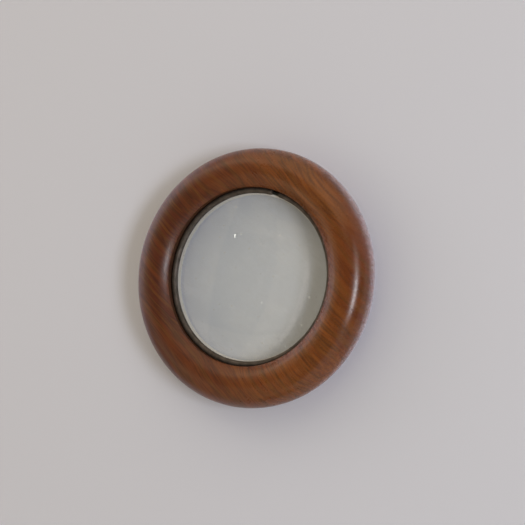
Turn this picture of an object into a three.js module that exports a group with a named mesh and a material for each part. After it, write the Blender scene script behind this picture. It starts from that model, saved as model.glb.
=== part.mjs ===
// Hand lens: a biconvex glass set in a turned wooden ring, with no handle.
//
// Units are millimetres. +Z is the optical axis and points to the front, the side that the eye looks
// into. The ring lies on its back, so its flat foot is at z = 0 and the origin is the middle of the foot.

import * as THREE from 'three';

// ---- Driving dimensions -------------------------------------------------------------------------

// The wooden ring is a full round section, swept about the optical axis and flattened at the back.
const RING_OUTER_RADIUS = 52.5;
const SECTION_RADIUS = 9.25;
const FOOT_CUT = 0.35;          // how much the back is sanded away to leave the flat foot

// The front is counterbored for the glass, and a groove in the counterbore's wall grips the wire ring.
const COUNTERBORE_RADIUS = 36.0;
const LIP_ROUND = 0.8;          // the softened edge where the counterbore meets the front
const GROOVE_DEPTH = 0.5;
const GROOVE_WIDTH = 2.6;

// The glass has a ground rim with a flat land on each face, and a spherical crown inside the land.
const LENS_RADIUS = 35.6;
const LENS_CROWN_RADIUS = 33.45;
const LENS_RIM_THICKNESS = 2.4;
const LENS_CROWN_HEIGHT = 3.0;
const LENS_CHAMFER = 0.35;

// The wire ring is sprung in front of the glass, and is split so that it can be squeezed in.
const WIRE_DIAMETER = 2.3;
const WIRE_INNER_RADIUS = 33.9;
const WIRE_GAP = 3.2;           // the opening between its two ends
const WIRE_GAP_ANGLE = 72;      // degrees from +X towards +Y

// The washer cushions the back of the glass on the wooden ledge.
const WASHER_THICKNESS = 0.5;
const WASHER_OUTER_RADIUS = 35.6;
const WASHER_INNER_RADIUS = 34.4;

const CONTACT_GAP = 0.06;       // clearance under the wire ring, which rests on the glass
const TURNED_SEGMENTS = 64;     // facets round every turned piece
const WIRE_STEPS = 60;
const WIRE_SIDES = 10;

// ---- Derived places -----------------------------------------------------------------------------

const SECTION_CENTRE = RING_OUTER_RADIUS - SECTION_RADIUS;
const MID_Z = SECTION_RADIUS - FOOT_CUT;
const LENS_Z = MID_Z;
const LAND_TOP_Z = LENS_Z + LENS_RIM_THICKNESS / 2;
const LAND_BOTTOM_Z = LENS_Z - LENS_RIM_THICKNESS / 2;
const LEDGE_Z = LAND_BOTTOM_Z - WASHER_THICKNESS;
const WIRE_Z = LAND_TOP_Z + CONTACT_GAP + WIRE_DIAMETER / 2;
const WIRE_CENTRE_RADIUS = WIRE_INNER_RADIUS + WIRE_DIAMETER / 2;

// ---- Helpers ------------------------------------------------------------------------------------

function material(name, color, roughness, metalness, extra = {}) {
  return new THREE.MeshStandardMaterial({ name, color, roughness, metalness, ...extra });
}

// Points along an arc in the (radius, height) plane. Angles are in radians from the outward radius.
function arc(centreRadius, centreZ, radius, from, to, steps) {
  const points = [];
  for (let i = 0; i <= steps; i += 1) {
    const angle = from + ((to - from) * i) / steps;
    points.push(new THREE.Vector2(
      centreRadius + radius * Math.cos(angle),
      centreZ + radius * Math.sin(angle),
    ));
  }
  return points;
}

// A (radius, height) profile turned about the optical axis.
function turned(name, profile, finish) {
  const geometry = new THREE.LatheGeometry(profile, TURNED_SEGMENTS);
  geometry.rotateX(Math.PI / 2);
  const mesh = new THREE.Mesh(geometry, finish);
  mesh.name = name;
  return mesh;
}

// ---- Wooden ring --------------------------------------------------------------------------------

function woodRing() {
  // Where the counterbore would meet the round section, before that edge is softened.
  const lipDrop = Math.acos((SECTION_CENTRE - COUNTERBORE_RADIUS - LIP_ROUND)
    / (SECTION_RADIUS - LIP_ROUND));
  const lipCentreRadius = COUNTERBORE_RADIUS + LIP_ROUND;
  const lipCentreZ = MID_Z + (SECTION_RADIUS - LIP_ROUND) * Math.sin(lipDrop);
  const lipStart = Math.PI - lipDrop;

  const footStart = -Math.asin(MID_Z / SECTION_RADIUS);
  const footEnd = -Math.PI - footStart;
  const ledgeAngle = -Math.PI - Math.asin((LEDGE_Z - MID_Z) / SECTION_RADIUS);

  const grooveTop = WIRE_Z + GROOVE_WIDTH / 2;
  const grooveBottom = WIRE_Z - GROOVE_WIDTH / 2;
  const grooveRadius = COUNTERBORE_RADIUS + GROOVE_DEPTH;

  const profile = [
    // From the foot's outer edge to the widest circle, up to the crest, and down to the lip.
    ...arc(SECTION_CENTRE, MID_Z, SECTION_RADIUS, footStart, 0, 6),
    ...arc(SECTION_CENTRE, MID_Z, SECTION_RADIUS, 0, Math.PI / 2, 7).slice(1),
    ...arc(SECTION_CENTRE, MID_Z, SECTION_RADIUS, Math.PI / 2, lipStart, 4).slice(1),
    // The softened lip, then the counterbore's wall with its groove.
    ...arc(lipCentreRadius, lipCentreZ, LIP_ROUND, lipStart, Math.PI, 3).slice(1),
    new THREE.Vector2(COUNTERBORE_RADIUS, grooveTop),
    new THREE.Vector2(grooveRadius, grooveTop - GROOVE_DEPTH),
    new THREE.Vector2(grooveRadius, grooveBottom + GROOVE_DEPTH),
    new THREE.Vector2(COUNTERBORE_RADIUS, grooveBottom),
    new THREE.Vector2(COUNTERBORE_RADIUS, LEDGE_Z),
    // The ledge's edge, then the back of the section down to the foot's inner edge.
    ...arc(SECTION_CENTRE, MID_Z, SECTION_RADIUS, ledgeAngle, footEnd, 5),
  ];
  profile.push(profile[0].clone());
  return turned('wood_ring', profile, material('turned_wood', 0x6a3f24, 0.42, 0));
}

// ---- Glass --------------------------------------------------------------------------------------

function lens() {
  const crownRadius = (LENS_CROWN_RADIUS ** 2 + LENS_CROWN_HEIGHT ** 2) / (2 * LENS_CROWN_HEIGHT);
  const crownAngle = Math.asin(LENS_CROWN_RADIUS / crownRadius);
  const frontCentreZ = LAND_TOP_Z + LENS_CROWN_HEIGHT - crownRadius;
  const backCentreZ = LAND_BOTTOM_Z - LENS_CROWN_HEIGHT + crownRadius;
  const chamferRadius = LENS_RADIUS - LENS_CHAMFER;

  const back = arc(0, backCentreZ, crownRadius, -Math.PI / 2, -Math.PI / 2 + crownAngle, 6);
  const front = arc(0, frontCentreZ, crownRadius, Math.PI / 2 - crownAngle, Math.PI / 2, 6);
  back[0].x = 0;
  front[front.length - 1].x = 0;

  const profile = [
    ...back,
    new THREE.Vector2(chamferRadius, LAND_BOTTOM_Z),
    new THREE.Vector2(LENS_RADIUS, LAND_BOTTOM_Z + LENS_CHAMFER),
    new THREE.Vector2(LENS_RADIUS, LAND_TOP_Z - LENS_CHAMFER),
    new THREE.Vector2(chamferRadius, LAND_TOP_Z),
    ...front,
  ];
  const glass = material('optical_glass', 0xe9efec, 0.04, 0, { transparent: true, opacity: 0.35 });
  return turned('lens', profile, glass);
}

// ---- Wire ring ----------------------------------------------------------------------------------

// A circle about the optical axis that leaves out the gap between the wire's two ends.
class SplitCircle extends THREE.Curve {
  constructor(radius, z, gap, gapAngle) {
    super();
    this.radius = radius;
    this.z = z;
    this.halfGap = Math.asin(gap / (2 * radius));
    this.gapAngle = THREE.MathUtils.degToRad(gapAngle);
  }

  getPoint(t, target = new THREE.Vector3()) {
    const sweep = 2 * Math.PI - 2 * this.halfGap;
    const angle = this.gapAngle + this.halfGap + sweep * t;
    return target.set(this.radius * Math.cos(angle), this.radius * Math.sin(angle), this.z);
  }
}

function retainingRing() {
  const section = new THREE.Shape();
  section.absarc(0, 0, WIRE_DIAMETER / 2, 0, 2 * Math.PI, false);
  const geometry = new THREE.ExtrudeGeometry(section, {
    extrudePath: new SplitCircle(WIRE_CENTRE_RADIUS, WIRE_Z, WIRE_GAP, WIRE_GAP_ANGLE),
    steps: WIRE_STEPS,
    curveSegments: WIRE_SIDES / 2,   // a full circle gets two sides for each of these
    bevelEnabled: false,
  });
  const mesh = new THREE.Mesh(geometry, material('blackened_wire', 0x3a3733, 0.45, 0.7));
  mesh.name = 'retaining_ring';
  return mesh;
}

// ---- Washer -------------------------------------------------------------------------------------

function seatWasher() {
  const profile = [
    new THREE.Vector2(WASHER_INNER_RADIUS, LEDGE_Z),
    new THREE.Vector2(WASHER_OUTER_RADIUS, LEDGE_Z),
    new THREE.Vector2(WASHER_OUTER_RADIUS, LAND_BOTTOM_Z),
    new THREE.Vector2(WASHER_INNER_RADIUS, LAND_BOTTOM_Z),
    new THREE.Vector2(WASHER_INNER_RADIUS, LEDGE_Z),
  ];
  return turned('seat_washer', profile, material('dark_fibre', 0x2b2622, 0.9, 0));
}

// ---- Assembly -----------------------------------------------------------------------------------

const group = new THREE.Group();
group.name = 'hand_lens';
group.add(woodRing(), seatWasher(), lens(), retainingRing());

export default group;
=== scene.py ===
"""Looks of the hand lens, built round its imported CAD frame. Metres, +Z up; the lens lies on its back."""

import math

import bmesh
import bpy
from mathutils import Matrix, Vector, noise


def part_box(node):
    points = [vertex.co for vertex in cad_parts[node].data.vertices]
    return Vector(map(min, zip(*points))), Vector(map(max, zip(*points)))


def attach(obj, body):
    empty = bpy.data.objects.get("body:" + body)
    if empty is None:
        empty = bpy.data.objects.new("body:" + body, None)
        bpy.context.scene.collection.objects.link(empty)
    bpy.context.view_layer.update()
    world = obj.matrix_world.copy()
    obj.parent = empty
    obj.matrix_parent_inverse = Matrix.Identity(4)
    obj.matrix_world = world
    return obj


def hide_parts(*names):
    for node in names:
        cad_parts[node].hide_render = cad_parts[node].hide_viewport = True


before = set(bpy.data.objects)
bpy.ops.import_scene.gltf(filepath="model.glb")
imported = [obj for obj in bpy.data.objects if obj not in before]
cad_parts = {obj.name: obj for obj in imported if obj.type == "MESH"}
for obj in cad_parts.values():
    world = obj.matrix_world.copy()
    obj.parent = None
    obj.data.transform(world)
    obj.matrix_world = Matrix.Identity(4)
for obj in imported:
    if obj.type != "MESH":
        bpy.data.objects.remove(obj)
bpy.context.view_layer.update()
MM = 0.001

# ---- Dimensions, from the frame where it has them ---------------------------------------------------

RING_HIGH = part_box("wood_ring")[1]
LENS_LOW, LENS_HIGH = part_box("lens")
WIRE_LOW, WIRE_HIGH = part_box("retaining_ring")
WASHER_LOW, WASHER_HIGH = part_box("seat_washer")

SECTION_RADIUS = 9.25 * MM
SECTION_CENTRE = RING_HIGH.x - SECTION_RADIUS
MID_Z = RING_HIGH.z - SECTION_RADIUS
COUNTERBORE_RADIUS = 36.0 * MM
LIP_ROUND = 0.8 * MM
FOOT_EDGE_ROUND = 1.2 * MM
LEDGE_Z = WASHER_LOW.z
GROOVE_DEPTH = 0.5 * MM
GROOVE_HALF_WIDTH = 1.3 * MM

# The rounded lip between the section and the counterbore: where it starts, as an angle about the
# section's centre, and the height of its own centre.
LIP_REACH = SECTION_CENTRE - COUNTERBORE_RADIUS - LIP_ROUND
LIP_ANGLE = math.pi - math.acos(LIP_REACH / (SECTION_RADIUS - LIP_ROUND))
LIP_Z = MID_Z + (SECTION_RADIUS - LIP_ROUND) * math.sin(LIP_ANGLE)

# The bore's plain finish, whose colour is darkened with painted shade, covers what lies nearer the axis
# than BORE_REACH and below BORE_TOP, which is part of the way round the lip.
BORE_REACH = COUNTERBORE_RADIUS + GROOVE_DEPTH + 1e-6
BORE_TOP = LIP_Z + LIP_ROUND * 0.35

# Hand sanding leaves the outside a little out of true, in waves about this deep and this long.
UNEVENNESS = 0.05 * MM
UNEVENNESS_SPAN = 14 * MM

LENS_RADIUS = LENS_HIGH.x
CROWN_RADIUS = 33.45 * MM
CROWN_HEIGHT = 3.0 * MM
LENS_CHAMFER = 0.35 * MM
LAND_TOP_Z = LENS_HIGH.z - CROWN_HEIGHT
LAND_BOTTOM_Z = LENS_LOW.z + CROWN_HEIGHT

WIRE_RADIUS = (WIRE_HIGH.z - WIRE_LOW.z) / 2
WIRE_Z = (WIRE_HIGH.z + WIRE_LOW.z) / 2
WIRE_INNER_RADIUS = 33.9 * MM
WIRE_CENTRE_RADIUS = WIRE_INNER_RADIUS + WIRE_RADIUS
WIRE_GAP = 3.2 * MM
WIRE_GAP_AZIMUTH = math.radians(72)
WIRE_END_ROUND = 0.5 * MM

WASHER_INNER_RADIUS = 34.4 * MM

# How finely each piece is divided: the turned ones round the axis, the wire along it and round it.
RING_SEGMENTS = 300
LENS_SEGMENTS = 256
WASHER_SEGMENTS = 200
WIRE_STEPS = 260
WIRE_SIDES = 20

# ---- The camera, and lights placed by their angle from the optical axis -----------------------------

# The camera looks down into the front of the ring from the side named by VIEW_AZIMUTH.
VIEW_TILT = math.radians(27.8)
VIEW_AZIMUTH = math.radians(-12.1)
VIEW_DISTANCE = 0.6
VIEW_LENS = 102.2       # the focal length and the sensor's width are in millimetres
VIEW_SENSOR = 36
# How far the middle of the ring sits left of the picture's middle, and below it.
VIEW_SHIFT_LEFT = 3.9 * MM
VIEW_SHIFT_DOWN = 6.0 * MM

RING_MIDDLE = Vector((0, 0, MID_Z))
TOWARDS_CAMERA = Vector((math.cos(VIEW_AZIMUTH), math.sin(VIEW_AZIMUTH), 0))
ACROSS = Vector((-math.sin(VIEW_AZIMUTH), math.cos(VIEW_AZIMUTH), 0))
UP = Vector((0, 0, 1))
LIGHT_DISTANCE = 1.6


def aim(thing, right, above, back, place):
    """Turns and places a camera or light, which looks the opposite way to back."""
    turn = thing.matrix_world.to_3x3()
    turn.col[0], turn.col[1], turn.col[2] = right, above, back
    thing.matrix_world = turn.to_4x4()
    thing.location = place


def make_camera():
    back = UP * math.cos(VIEW_TILT) + TOWARDS_CAMERA * math.sin(VIEW_TILT)
    screen = TOWARDS_CAMERA * math.cos(VIEW_TILT) - UP * math.sin(VIEW_TILT)
    right = screen * math.cos(VIEW_AZIMUTH) - ACROSS * math.sin(VIEW_AZIMUTH)
    above = screen * math.sin(VIEW_AZIMUTH) + ACROSS * math.cos(VIEW_AZIMUTH)
    data = bpy.data.cameras.new("camera")
    data.sensor_width = VIEW_SENSOR
    data.lens = VIEW_LENS
    camera = bpy.data.objects.new("camera", data)
    bpy.context.scene.collection.objects.link(camera)
    place = RING_MIDDLE + back * VIEW_DISTANCE + right * VIEW_SHIFT_LEFT + above * VIEW_SHIFT_DOWN
    aim(camera, right, above, back, place)
    bpy.context.scene.camera = camera


def make_light(name, towards, across, width, depth, radiance, colour):
    """A soft panel, unseen by the camera. towards and across say where it stands, as angles in degrees
    from the optical axis: towards the camera's side, and square to that. width and depth are its size
    square to the camera's side and along it, in degrees as the lens sees it."""
    towards, across = math.radians(towards), math.radians(across)
    direction = UP * math.cos(towards) + TOWARDS_CAMERA * math.sin(towards)
    direction = direction * math.cos(across) + ACROSS * math.sin(across)
    data = bpy.data.lights.new(name, "AREA")
    data.shape = "RECTANGLE"
    data.size = 2 * LIGHT_DISTANCE * math.tan(math.radians(width / 2))
    data.size_y = 2 * LIGHT_DISTANCE * math.tan(math.radians(depth / 2))
    data.energy = radiance * math.pi * data.size * data.size_y
    data.color = colour
    light = bpy.data.objects.new(name, data)
    bpy.context.scene.collection.objects.link(light)
    light.visible_camera = False
    side = ACROSS - direction * ACROSS.dot(direction)
    side.normalize()
    aim(light, side, direction.cross(side), direction, RING_MIDDLE + direction * LIGHT_DISTANCE)
    return light


# Each panel's name, towards, across, width, depth, radiance and colour, as make_light takes them.
PANELS = [
    ("window", 50, 2, 19, 11, 16.0, (1.0, 1.02, 1.08)),
    ("far_window", -76, 8, 42, 24, 1.0, (1.0, 0.93, 1.0)),
    ("left_wall", -57, 5, 70, 36, 0.50, (1.0, 0.82, 0.54)),
    ("table", 62, -45, 50, 40, 0.45, (1.0, 0.97, 1.0)),
    ("window_side", 50, 19, 24, 14, 1.8, (1.0, 0.98, 1.02)),
    ("ceiling", -22, 56, 60, 75, 0.70, (1.0, 0.87, 0.66)),
    ("side_wall", 80, 48, 40, 30, 0.4, (1.0, 0.95, 0.98)),
    ("near_wall", -35, -50, 60, 50, 0.38, (1.0, 0.84, 0.60)),
    ("tube", -36, 9, 1.1, 0.4, 11.0, (1.0, 1.0, 0.9)),
]
# Two more that only glance off the ring's outer edge. They stand below the floor, which would block
# them, so they light the ring alone and nothing else shades it from them.
RIM_PANELS = [
    ("right_rim", 167, 14, 70, 46, 12.5, (0.91, 0.89, 1.08)),
    ("left_rim", -112, 8, 42, 30, 3.9, (1.0, 0.88, 1.08)),
]
ROOM_COLOUR = (1.0, 0.87, 0.70, 1)
ROOM_STRENGTH = 0.18


def make_lights(ring):
    for panel in PANELS:
        make_light(*panel)
    rims = [make_light(*panel) for panel in RIM_PANELS]
    alone = bpy.data.collections.new("ring_alone")
    alone.objects.link(ring)
    for light in rims:
        light.visible_diffuse = False
        light.light_linking.receiver_collection = alone
        light.light_linking.blocker_collection = alone
    world = bpy.data.worlds.new("room")
    bpy.context.scene.world = world
    world.use_nodes = True
    background = world.node_tree.nodes["Background"]
    background.inputs["Color"].default_value = ROOM_COLOUR
    background.inputs["Strength"].default_value = ROOM_STRENGTH
    bpy.context.scene.view_settings.view_transform = "Standard"


# ---- Mesh helpers -----------------------------------------------------------------------------------


def arc(centre_radius, centre_z, radius, start, end, steps):
    """Points (radius, height) along an arc; angles in radians from the outward radius."""
    angles = [start + (end - start) * i / steps for i in range(steps + 1)]
    return [(centre_radius + radius * math.cos(a), centre_z + radius * math.sin(a)) for a in angles]


def run(start, end, steps):
    """Evenly spaced points from start to end, without start."""
    return [tuple(a + (b - a) * i / steps for a, b in zip(start, end)) for i in range(1, steps + 1)]


def new_piece(name, mesh, materials, node):
    """A smooth-shaded piece that stands for a CAD node and hides it; it hangs from the root body and takes
    the given materials.
    """
    piece = bpy.data.objects.new(name, mesh)
    bpy.context.scene.collection.objects.link(piece)
    for polygon in mesh.polygons:
        polygon.use_smooth = True
    for material in materials:
        mesh.materials.append(material)
    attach(piece, "root")
    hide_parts(node)
    return piece


def finished_mesh(bm, name):
    """The bmesh as a mesh, with every face turned outwards."""
    bmesh.ops.recalc_face_normals(bm, faces=bm.faces)
    mesh = bpy.data.meshes.new(name)
    bm.to_mesh(mesh)
    bm.free()
    return mesh


def turned_mesh(name, profile, segments, closed, material_of=None):
    """Turns a (radius, height) profile about the optical axis. material_of(i) numbers the material
    of the band after point i."""
    bm = bmesh.new()
    rows = []
    for radius, height in profile:
        if radius < 1e-9:
            rows.append([bm.verts.new((0, 0, height))] * segments)
            continue
        angles = [2 * math.pi * i / segments for i in range(segments)]
        rows.append([bm.verts.new((radius * math.cos(a), radius * math.sin(a), height)) for a in angles])
    bands = len(rows) if closed else len(rows) - 1
    for band in range(bands):
        low, high = rows[band], rows[(band + 1) % len(rows)]
        for i in range(segments):
            j = (i + 1) % segments
            corners = []
            for vertex in (low[i], low[j], high[j], high[i]):
                if vertex not in corners:
                    corners.append(vertex)
            face = bm.faces.new(corners)
            face.material_index = material_of(band) if material_of else 0
    return finished_mesh(bm, name)


# ---- Shader helper ----------------------------------------------------------------------------------


class Shader:
    """A material's nodes, added by short calls that return the new node's output socket."""

    def __init__(self, name):
        self.material = bpy.data.materials.new(name)
        self.material.use_nodes = True
        self.tree = self.material.node_tree
        self.surface = self.tree.nodes["Principled BSDF"]

    def node(self, kind, output, inputs=(), **settings):
        node = self.tree.nodes.new(kind)
        for key, value in settings.items():
            setattr(node, key, value)
        for key, value in dict(inputs).items():
            self.feed(node.inputs[key], value)
        return node.outputs[output]

    def feed(self, socket, value):
        if isinstance(value, bpy.types.NodeSocket):
            self.tree.links.new(value, socket)
        else:
            socket.default_value = value

    def set(self, **values):
        """Sets the surface's inputs; an underscore stands for a space."""
        for key, value in values.items():
            self.feed(self.surface.inputs[key.replace("_", " ")], value)

    def maths(self, operation, a, b):
        return self.node("ShaderNodeMath", 0, {0: a, 1: b}, operation=operation)

    def blend(self, share, a, b, blend_type="MIX"):
        """Colour a at share 0, and b at share 1."""
        inputs = {0: share, 6: a, 7: b}
        return self.node("ShaderNodeMix", 2, inputs, data_type="RGBA", blend_type=blend_type)

    def smooth(self, value, low, high, to_low=0.0, to_high=1.0):
        """An S-curve from to_low, where the value is low or less, to to_high."""
        inputs = {0: value, 1: low, 2: high, 3: to_low, 4: to_high}
        return self.node("ShaderNodeMapRange", 0, inputs, interpolation_type="SMOOTHSTEP")

    def scaled(self, vector, scale):
        return self.node("ShaderNodeVectorMath", 0, {0: vector, 1: scale}, operation="MULTIPLY")

    def noise(self, vector, scale, detail=2.0, roughness=0.5, output="Fac"):
        inputs = {"Vector": vector, "Scale": scale, "Detail": detail, "Roughness": roughness}
        return self.node("ShaderNodeTexNoise", output, inputs)

    def layer(self, vector, scales, detail=2.0, roughness=0.5, output="Fac"):
        """Noise with its own scale along each axis."""
        return self.noise(self.scaled(vector, scales), 1.0, detail, roughness, output)

    def cells(self, vector, scale=1.0):
        """The distance to the nearest of scattered points."""
        inputs = {"Vector": vector, "Scale": scale, "Randomness": 1.0}
        return self.node("ShaderNodeTexVoronoi", "Distance", inputs)

    def turned(self, vector, angle):
        inputs = {"Vector": vector, "Rotation": (0, 0, angle)}
        return self.node("ShaderNodeMapping", "Vector", inputs)

    def bump(self, height, strength, distance):
        inputs = {"Height": height, "Strength": strength, "Distance": distance}
        return self.node("ShaderNodeBump", "Normal", inputs)

    def millimetres(self):
        place = self.node("ShaderNodeTexCoord", "Object")
        return self.scaled(place, (1 / MM, 1 / MM, 1 / MM))


# ---- Materials --------------------------------------------------------------------------------------

GRAIN_AZIMUTH = math.radians(-47)

# How finely each layer of the wood's figure repeats, per millimetre: along the grain, across it in
# the ring's plane, and through the ring's thickness.
GRAIN_WAVE = (0.020, 0.045, 0.045)
GROWTH_BANDS = (0.006, 0.24, 0.06)
RIDGE_LINES = (0.006, 0.42, 0.10)
VESSEL_DASHES = (0.09, 1.7, 0.32)
VESSEL_PORES = (0.22, 1.7, 1.7)
HUE_DRIFT = (0.025, 0.50, 0.12)
WAVE_REACH = 10     # millimetres

WOOD_RED = (0.163, 0.0390, 0.0064, 1)
WOOD_TAN = (0.248, 0.078, 0.0145, 1)
WOOD_MAROON = (0.097, 0.0187, 0.0040, 1)
WOOD_OLIVE = (0.140, 0.0505, 0.0078, 1)
# These two multiply the colour under them.
WOOD_LINE = (0.56, 0.50, 0.50, 1)
WOOD_PORE = (0.34, 0.34, 0.40, 1)
# Painted shade for the bore: its colour is mixed this far towards a dark grey-brown.
BORE_PAINTED_SHADE = (0.060, 0.039, 0.027, 1)
BORE_PAINTED_SHADE_SHARE = 0.7


def grain_place(shader, place):
    """Place turned so that X runs along the grain, which a slow waviness bends a little."""
    grain = shader.turned(place, -GRAIN_AZIMUTH)
    wave = shader.layer(grain, GRAIN_WAVE, output="Color")
    half = (0.5, 0.5, 0.5)
    wave = shader.node("ShaderNodeVectorMath", 0, {0: wave, 1: half}, operation="SUBTRACT")
    wave = shader.scaled(wave, (0, WAVE_REACH, WAVE_REACH))
    return shader.node("ShaderNodeVectorMath", 0, {0: grain, 1: wave}, operation="ADD")


def wood_colour(shader, grain, blank, edge, bands, dashes, pores):
    """Red-brown that runs from maroon to tan with the tone, with olive streaks and dark lines."""
    tone = shader.maths("ADD", shader.maths("MULTIPLY", bands, 0.75), shader.maths("MULTIPLY", blank, 0.5))
    tone = shader.maths("SUBTRACT", tone, shader.maths("MULTIPLY", edge, 0.30))
    colour = shader.blend(shader.smooth(tone, 0.30, 0.66), WOOD_MAROON, WOOD_RED)
    colour = shader.blend(shader.smooth(tone, 0.50, 1.05), colour, WOOD_TAN)
    hue = shader.layer(grain, HUE_DRIFT)
    colour = shader.blend(shader.smooth(hue, 0.44, 0.62, 0.0, 0.60), colour, WOOD_OLIVE)

    # Long lines follow the middle value of their noise; the dashes soften towards the far edge.
    ridge = shader.maths("ABSOLUTE", shader.maths("SUBTRACT", shader.layer(grain, RIDGE_LINES), 0.5), 0.0)
    line = shader.smooth(ridge, 0.0, 0.06, 0.28, 0.0)
    colour = shader.blend(line, colour, WOOD_LINE, "MULTIPLY")
    dash = shader.smooth(dashes, 0.42, 0.62, 0.0, 0.76)
    dash = shader.maths("MULTIPLY", dash, shader.smooth(edge, 0.0, 1.0, 1.0, 0.35))
    colour = shader.blend(dash, colour, WOOD_LINE, "MULTIPLY")
    return shader.blend(shader.maths("MULTIPLY", pores, 0.28), colour, WOOD_PORE, "MULTIPLY")


def wood_material(name, polished):
    """The wood, oiled and polished on the outside, or left plain and rough in the bore, where painted
    shade darkens its colour.
    """
    shader = Shader(name)
    place = shader.millimetres()
    grain = grain_place(shader, place)

    # The wood lightens across the blank, and darkens again at its far edge.
    side = shader.node("ShaderNodeSeparateXYZ", "X", {0: place})
    blank = shader.smooth(side, -50.0, 35.0)
    edge = shader.smooth(side, 34.0, 52.0)

    # The vessels are cut as dashes and pores. The pores are widest in the darker growth bands.
    bands = shader.layer(grain, GROWTH_BANDS, 3.0, 0.55)
    dashes = shader.layer(grain, VESSEL_DASHES, 1.5)
    pore_reach = shader.smooth(bands, 0.35, 0.65, 0.42, 0.24)
    distance = shader.cells(shader.scaled(grain, VESSEL_PORES))
    pores = shader.smooth(shader.maths("SUBTRACT", pore_reach, distance), 0.0, 0.20)

    colour = wood_colour(shader, grain, blank, edge, bands, dashes, pores)
    # Painted shade: the bore's colour is darkened towards a dark grey-brown.
    if not polished:
        colour = shader.blend(BORE_PAINTED_SHADE_SHARE, colour, BORE_PAINTED_SHADE)

    # Hands have worn the finish unevenly, and it is smoothest where the blank is lightest.
    worn = shader.smooth(shader.noise(place, 0.35, 3.0, 0.6), 0.3, 0.7, 0.34, 0.41)
    worn = shader.maths("SUBTRACT", worn, shader.maths("MULTIPLY", blank, 0.11))
    rough = shader.maths("ADD", worn, shader.maths("MULTIPLY", pores, 0.07))
    if polished:
        tint = (0.92, 0.80, 1.0, 1)
        shader.set(Roughness=rough, Sheen_Weight=0.07, Sheen_Roughness=0.25, Sheen_Tint=tint)
    else:
        shader.set(Roughness=shader.maths("ADD", rough, 0.5), Specular_IOR_Level=0.0)

    depth = shader.maths("MULTIPLY", pores, -0.6)
    relief = shader.maths("ADD", depth, shader.maths("MULTIPLY", dashes, -0.14))
    shader.set(Base_Color=colour, Normal=shader.bump(relief, 0.25, 0.03 * MM))
    return shader.material


SMEAR_AZIMUTH = math.radians(35)
SMEAR_SHARE = 0.065     # how much of the glass a smear hides
DUST_SHARE = 0.7


def soiled_glass(shader):
    """Clear polished glass, under faint wiped smears and a scatter of dust."""
    place = shader.millimetres()
    wiped = shader.turned(place, SMEAR_AZIMUTH)
    patches = shader.layer(wiped, (0.05, 0.08, 0.08), 4.0, 0.6)
    streaks = shader.layer(wiped, (0.16, 0.6, 0.6), 3.0, 0.6)
    streaks = shader.smooth(streaks, 0.30, 0.70, 0.4, 1.0)
    smear = shader.maths("MULTIPLY", shader.smooth(patches, 0.44, 0.62), streaks)
    dust = shader.smooth(shader.cells(place, 0.22), 0.055, 0.085, 1.0, 0.0)
    share = shader.maths("MULTIPLY", smear, SMEAR_SHARE)
    share = shader.maths("MAXIMUM", share, shader.maths("MULTIPLY", dust, DUST_SHARE))

    shader.set(Base_Color=(0.975, 0.98, 0.965, 1), Roughness=0.0, IOR=1.52, Transmission_Weight=1.0)
    film = shader.node("ShaderNodeBsdfDiffuse", 0, {"Color": (0.86, 0.86, 0.84, 1), "Roughness": 0.5})
    return shader.node("ShaderNodeMixShader", 0, {0: share, 1: shader.surface.outputs[0], 2: film})


def glass_material():
    """The soiled glass, except that light from the lamps and off matt surfaces passes straight
    through it, so that the floor below stays lit."""
    shader = Shader("optical_glass")
    clear = shader.node("ShaderNodeBsdfTransparent", 0, {"Color": (0.93, 0.95, 0.94, 1)})
    shadow = shader.node("ShaderNodeLightPath", "Is Shadow Ray")
    passing = shader.maths("MAXIMUM", shadow, shadow.node.outputs["Is Diffuse Ray"])
    mix = shader.node("ShaderNodeMixShader", 0, {0: passing, 1: soiled_glass(shader), 2: clear})
    shader.feed(shader.tree.nodes["Material Output"].inputs["Surface"], mix)
    return shader.material


# Painted shade darkens the lens's lands under the wire, from the first radius to the full at the second.
LAND_PAINTED_SHADE = (0.030, 0.034, 0.030, 1)
LAND_PAINTED_SHADE_RADII = (34.05, 34.4)     # millimetres


def ground_glass_material():
    """The lens's rim and lands, ground rather than polished, so they look pale and frosted, except where
    painted shade darkens them under the wire.
    """
    shader = Shader("ground_glass")
    grit = shader.noise(shader.millimetres(), 6.0, 3.0, 0.7)
    tone = shader.blend(grit, (0.78, 0.76, 0.71, 1), (0.93, 0.92, 0.89, 1))
    flat = shader.scaled(shader.millimetres(), (1, 1, 0))
    reach = shader.node("ShaderNodeVectorMath", "Value", {0: flat}, operation="LENGTH")
    # Painted shade: the lands darken outwards under the wire.
    tone = shader.blend(shader.smooth(reach, *LAND_PAINTED_SHADE_RADII), tone, LAND_PAINTED_SHADE)
    bump = shader.bump(grit, 0.4, 0.03 * MM)
    shader.set(Base_Color=tone, Roughness=0.55, IOR=1.52, Transmission_Weight=0.1, Normal=bump)
    return shader.material


WIRE_DARK = (0.066, 0.053, 0.042, 1)
WIRE_WORN = (0.118, 0.094, 0.077, 1)
WIRE_SCALE = (0.045, 0.052, 0.040, 1)


def wire_material():
    """Blackened spring wire, worn dull in patches and specked with greenish scale."""
    shader = Shader("blackened_wire")
    place = shader.millimetres()
    patches = shader.noise(place, 0.45, 4.0, 0.6)
    scale = shader.noise(place, 5.0, 3.0, 0.65)
    tone = shader.blend(shader.smooth(patches, 0.38, 0.66), WIRE_DARK, WIRE_WORN)
    tone = shader.blend(shader.smooth(scale, 0.5, 0.75, 0.0, 0.5), tone, WIRE_SCALE)
    rough = shader.smooth(scale, 0.3, 0.7, 0.44, 0.62)
    bump = shader.bump(scale, 0.25, 0.03 * MM)
    shader.set(Base_Color=tone, Metallic=0.35, Roughness=rough, Normal=bump)
    return shader.material


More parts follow.
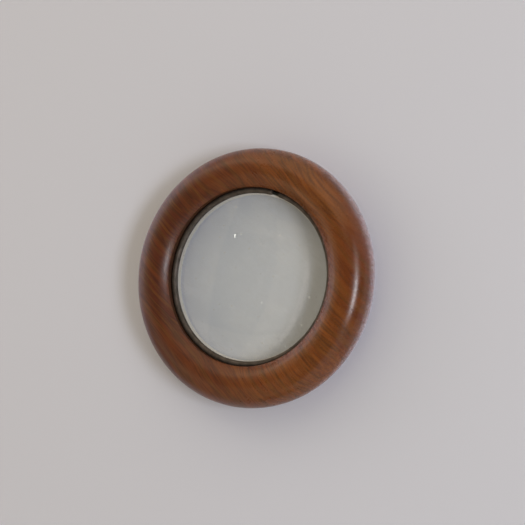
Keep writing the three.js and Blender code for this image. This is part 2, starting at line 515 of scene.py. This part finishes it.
def fibre_material():
    """The washer's dark, fuzzy fibre."""
    shader = Shader("dark_fibre")
    fuzz = shader.noise(shader.millimetres(), 4.0, 4.0, 0.7)
    tone = shader.blend(fuzz, (0.018, 0.015, 0.012, 1), (0.045, 0.036, 0.028, 1))
    bump = shader.bump(fuzz, 0.5, 0.05 * MM)
    shader.set(Base_Color=tone, Roughness=0.9, Normal=bump)
    return shader.material


def floor_material():
    shader = Shader("floor")
    shader.set(Base_Color=(0.755, 0.785, 0.885, 1), Roughness=0.6)
    return shader.material


# ---- Pieces -----------------------------------------------------------------------------------------


def section_arc(start, end, steps):
    """Points along the ring's round section."""
    return arc(SECTION_CENTRE, MID_Z, SECTION_RADIUS, start, end, steps)


def foot_edge(centre_radius, start, end):
    """Points round one of the foot's two rounded edges."""
    return arc(centre_radius, FOOT_EDGE_ROUND, FOOT_EDGE_ROUND, start, end, 4)


def wood_profile():
    """The ring's section, from the foot's outer edge round the front, down the bore and back."""
    foot_reach = SECTION_RADIUS - FOOT_EDGE_ROUND
    foot_angle = math.asin((MID_Z - FOOT_EDGE_ROUND) / foot_reach)
    foot_half = foot_reach * math.cos(foot_angle)
    foot_inner, foot_outer = SECTION_CENTRE - foot_half, SECTION_CENTRE + foot_half
    ledge_angle = math.pi + math.asin((MID_Z - LEDGE_Z) / SECTION_RADIUS)
    groove_top, groove_bottom = WIRE_Z + GROOVE_HALF_WIDTH, WIRE_Z - GROOVE_HALF_WIDTH
    groove_radius = COUNTERBORE_RADIUS + GROOVE_DEPTH

    # Over the front to the lip.
    points = section_arc(-foot_angle, LIP_ANGLE, 64)
    points += arc(COUNTERBORE_RADIUS + LIP_ROUND, LIP_Z, LIP_ROUND, LIP_ANGLE, math.pi, 8)[1:]
    # Down the counterbore, in and out of the wire's groove, and across the ledge.
    for corner in (
        (COUNTERBORE_RADIUS, groove_top),
        (groove_radius, groove_top - GROOVE_DEPTH),
        (groove_radius, groove_bottom + GROOVE_DEPTH),
        (COUNTERBORE_RADIUS, groove_bottom),
    ):
        points += run(points[-1], corner, 2)
    for corner in ((COUNTERBORE_RADIUS, LEDGE_Z), section_arc(ledge_angle, 0, 1)[0]):
        points += run(points[-1], corner, 3)
    # Round the back, and across the foot between its two rounded edges.
    points += section_arc(ledge_angle, math.pi + foot_angle, 22)[1:]
    points += foot_edge(foot_inner, math.pi + foot_angle, 1.5 * math.pi)[1:]
    points += run(points[-1], (foot_outer, 0), 6)
    points += foot_edge(foot_outer, -0.5 * math.pi, -foot_angle)[1:-1]
    return points


def make_wood_ring():
    profile = wood_profile()
    bore = {i for i, (radius, z) in enumerate(profile) if radius < BORE_REACH and z < BORE_TOP}
    mesh = turned_mesh("wood_ring", profile, RING_SEGMENTS, True, lambda band: int(band in bore))
    for vertex in mesh.vertices:
        outward = Vector((vertex.co.x, vertex.co.y, 0))
        past_lip = outward.length > COUNTERBORE_RADIUS + 2 * LIP_ROUND
        if past_lip and vertex.co.z > 2 * FOOT_EDGE_ROUND:
            centre = outward.normalized() * SECTION_CENTRE + RING_MIDDLE
            away = (vertex.co - centre).normalized()
            vertex.co += away * (noise.noise(vertex.co / UNEVENNESS_SPAN) - 0.5) * UNEVENNESS
    woods = [wood_material("turned_wood", True), wood_material("plain_bore_painted_shade", False)]
    return new_piece("turned_ring", mesh, woods, "wood_ring")


def make_lens():
    sphere = (CROWN_RADIUS**2 + CROWN_HEIGHT**2) / (2 * CROWN_HEIGHT)
    spread = math.asin(CROWN_RADIUS / sphere)
    steps = 28
    back = arc(0, LENS_LOW.z + sphere, sphere, -math.pi / 2, spread - math.pi / 2, steps)
    front = arc(0, LENS_HIGH.z - sphere, sphere, math.pi / 2 - spread, math.pi / 2, steps)
    back[0], front[-1] = (0, LENS_LOW.z), (0, LENS_HIGH.z)
    chamfer = LENS_RADIUS - LENS_CHAMFER
    rim = [
        (chamfer, LAND_BOTTOM_Z),
        (LENS_RADIUS, LAND_BOTTOM_Z + LENS_CHAMFER),
        (LENS_RADIUS, LAND_TOP_Z - LENS_CHAMFER),
        (chamfer, LAND_TOP_Z),
    ]
    # The bands from the last point of one crown to the first of the other are ground.
    ground = range(steps, steps + len(rim) + 1)
    profile = back + rim + front
    mesh = turned_mesh("lens", profile, LENS_SEGMENTS, False, lambda band: int(band in ground))
    glasses = [glass_material(), ground_glass_material()]
    piece = new_piece("lens_glass", mesh, glasses, "lens")
    mesh.set_sharp_from_angle(angle=math.radians(20))
    return piece


def make_wire():
    """The split ring: a round wire with slightly rounded ends, sprung into the groove."""
    end_steps = 5
    half_gap = math.asin(WIRE_GAP / 2 / WIRE_CENTRE_RADIUS)
    length = (2 * math.pi - 2 * half_gap) * WIRE_CENTRE_RADIUS
    straight = length - 2 * WIRE_END_ROUND
    turns = [math.pi / 2 * i / end_steps for i in range(end_steps)]
    along = [WIRE_END_ROUND * (1 - math.cos(turn)) for turn in turns]
    along += [WIRE_END_ROUND + straight * i / WIRE_STEPS for i in range(WIRE_STEPS + 1)]
    along += [length - distance for distance in reversed(along[:end_steps])]
    bm = bmesh.new()
    rows = []
    for distance in along:
        inset = max(0.0, WIRE_END_ROUND - min(distance, length - distance))
        bulge = math.sqrt(max(0.0, WIRE_END_ROUND**2 - inset**2))
        radius = WIRE_RADIUS - WIRE_END_ROUND + bulge
        azimuth = WIRE_GAP_AZIMUTH + half_gap + distance / WIRE_CENTRE_RADIUS
        row = []
        for side in range(WIRE_SIDES):
            angle = 2 * math.pi * side / WIRE_SIDES
            reach = WIRE_CENTRE_RADIUS + radius * math.cos(angle)
            height = WIRE_Z + radius * math.sin(angle)
            row.append(bm.verts.new((reach * math.cos(azimuth), reach * math.sin(azimuth), height)))
        rows.append(row)
    for near, far in zip(rows, rows[1:]):
        for i in range(WIRE_SIDES):
            j = (i + 1) % WIRE_SIDES
            bm.faces.new((near[i], near[j], far[j], far[i]))
    bm.faces.new(rows[0])
    bm.faces.new(rows[-1])
    mesh = finished_mesh(bm, "wire")
    return new_piece("split_ring", mesh, [wire_material()], "retaining_ring")


def make_washer():
    outer = WASHER_HIGH.x
    profile = [
        (WASHER_INNER_RADIUS, WASHER_LOW.z),
        (outer, WASHER_LOW.z),
        (outer, WASHER_HIGH.z),
        (WASHER_INNER_RADIUS, WASHER_HIGH.z),
    ]
    mesh = turned_mesh("washer", profile, WASHER_SEGMENTS, closed=True)
    piece = new_piece("fibre_washer", mesh, [fibre_material()], "seat_washer")
    mesh.set_sharp_from_angle(angle=math.radians(30))
    return piece


FLOOR_SIZE = 6


def make_floor():
    bpy.ops.mesh.primitive_plane_add(size=FLOOR_SIZE)
    floor = bpy.context.object
    floor.name = "floor"
    floor.data.materials.append(floor_material())


make_camera()
make_floor()
make_lights(make_wood_ring())
make_lens()
make_wire()
make_washer()

bpy.context.view_layer.update()
